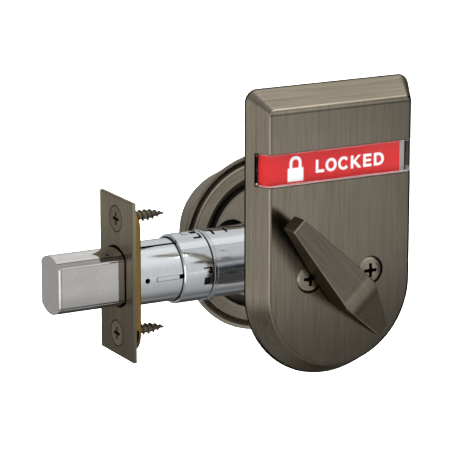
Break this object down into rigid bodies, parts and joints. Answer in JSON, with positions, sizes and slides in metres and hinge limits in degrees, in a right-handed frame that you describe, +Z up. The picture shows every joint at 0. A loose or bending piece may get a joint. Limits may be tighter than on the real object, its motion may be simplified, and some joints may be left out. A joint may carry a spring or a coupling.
{
  "type": "deadbolt lock",
  "caption": "Single-cylinder tubular deadbolt with a thumbturn plate and lock-state window inside, a keyed collar outside, and a sliding bolt between them.",
  "frame": {"origin": "crossing of the bolt axis and the thumbturn spindle axis, in the middle of the door's cross bore", "axes": "+X from the door edge to the hinge side (the bolt points to -X); +Y from the room side to the outside; +Z up"},
  "size_m": [0.1289, 0.0956, 0.1053],
  "materials": {
    "antique_pewter": "brushed antique pewter, dark olive grey-brown with fine vertical grain",
    "pewter_cast": "cast pewter-coloured zinc",
    "pewter_screws": "pewter-plated steel",
    "bright_zinc": "bright bluish zinc plate",
    "plated_steel": "zinc-plated sheet steel",
    "hard_steel": "hardened steel",
    "bolt_steel": "satin nickel-plated steel",
    "brass": "plain brass",
    "brass_plug": "brass, pewter-toned at the face",
    "cast_zinc": "as-cast zinc alloy",
    "clear_lens": "clear moulded plastic window",
    "red_label": "red printed label",
    "green_label": "green printed label",
    "black_plastic": "black moulded acetal",
    "white_plastic": "white moulded acetal"
  },
  "bodies": {
    "case": {"interior_plate": "antique_pewter", "indicator_lens": "clear_lens", "mounting_plate": "plated_steel", "plate_fixing_screws": "plated_steel", "flag_guides": "black_plastic", "mounting_screws": "pewter_screws", "spring_washer": "plated_steel", "faceplate": "antique_pewter", "faceplate_screws": "pewter_screws", "bolt_backing_plate": "brass", "bolt_tube": "bright_zinc", "backset_key": "bright_zinc", "backset_collar": "bright_zinc", "rear_housing": "bright_zinc", "housing_tab": "bright_zinc", "housing_end_cap": "bright_zinc", "hub_bushes": "black_plastic", "exterior_collar": "antique_pewter", "bore_ring": "antique_pewter", "cylinder_housing": "pewter_cast", "driver_pins": "brass", "pin_springs": "hard_steel", "chamber_cap": "brass"},
    "turn": {"thumbturn": "antique_pewter", "turn_spindle": "cast_zinc", "retaining_clip": "hard_steel", "indicator_crank": "cast_zinc", "crank_pin": "hard_steel", "crank_hub": "cast_zinc", "tailpiece": "plated_steel"},
    "bolt": {"deadbolt_bar": "bolt_steel", "bolt_roller_pin": "hard_steel", "bolt_carrier": "plated_steel", "carrier_pins": "hard_steel", "carrier_rivets": "hard_steel"},
    "flag": {"flag_carrier": "white_plastic", "locked_label": "red_label", "unlocked_label": "green_label"},
    "plug": {"cylinder_plug": "brass_plug", "plug_retainer": "plated_steel", "key_pins": "brass"}
  },
  "joints": [
    {"name": "thumbturn_hinge", "type": "hinge", "parent": "case", "child": "turn", "pos_m": [0, 0, 0], "axis": [0, 1, 0], "range_deg": [0, 90]},
    {"name": "bolt_slide", "type": "slide", "parent": "case", "child": "bolt", "axis": [1, 0, 0], "range_m": [0, 0.0254]},
    {"name": "indicator_slide", "type": "slide", "parent": "case", "child": "flag", "axis": [0, 0, -1], "range_m": [0, 0.012]},
    {"name": "plug_hinge", "type": "hinge", "parent": "case", "child": "plug", "pos_m": [0, 0, 0], "axis": [0, 1, 0], "range_deg": [-90, 90]}
  ],
  "couplings": [
    {"joint": "thumbturn_hinge", "follows": "bolt_slide", "rad_per_m": 61.842},
    {"joint": "indicator_slide", "follows": "bolt_slide", "ratio": 0.47244}
  ]
}
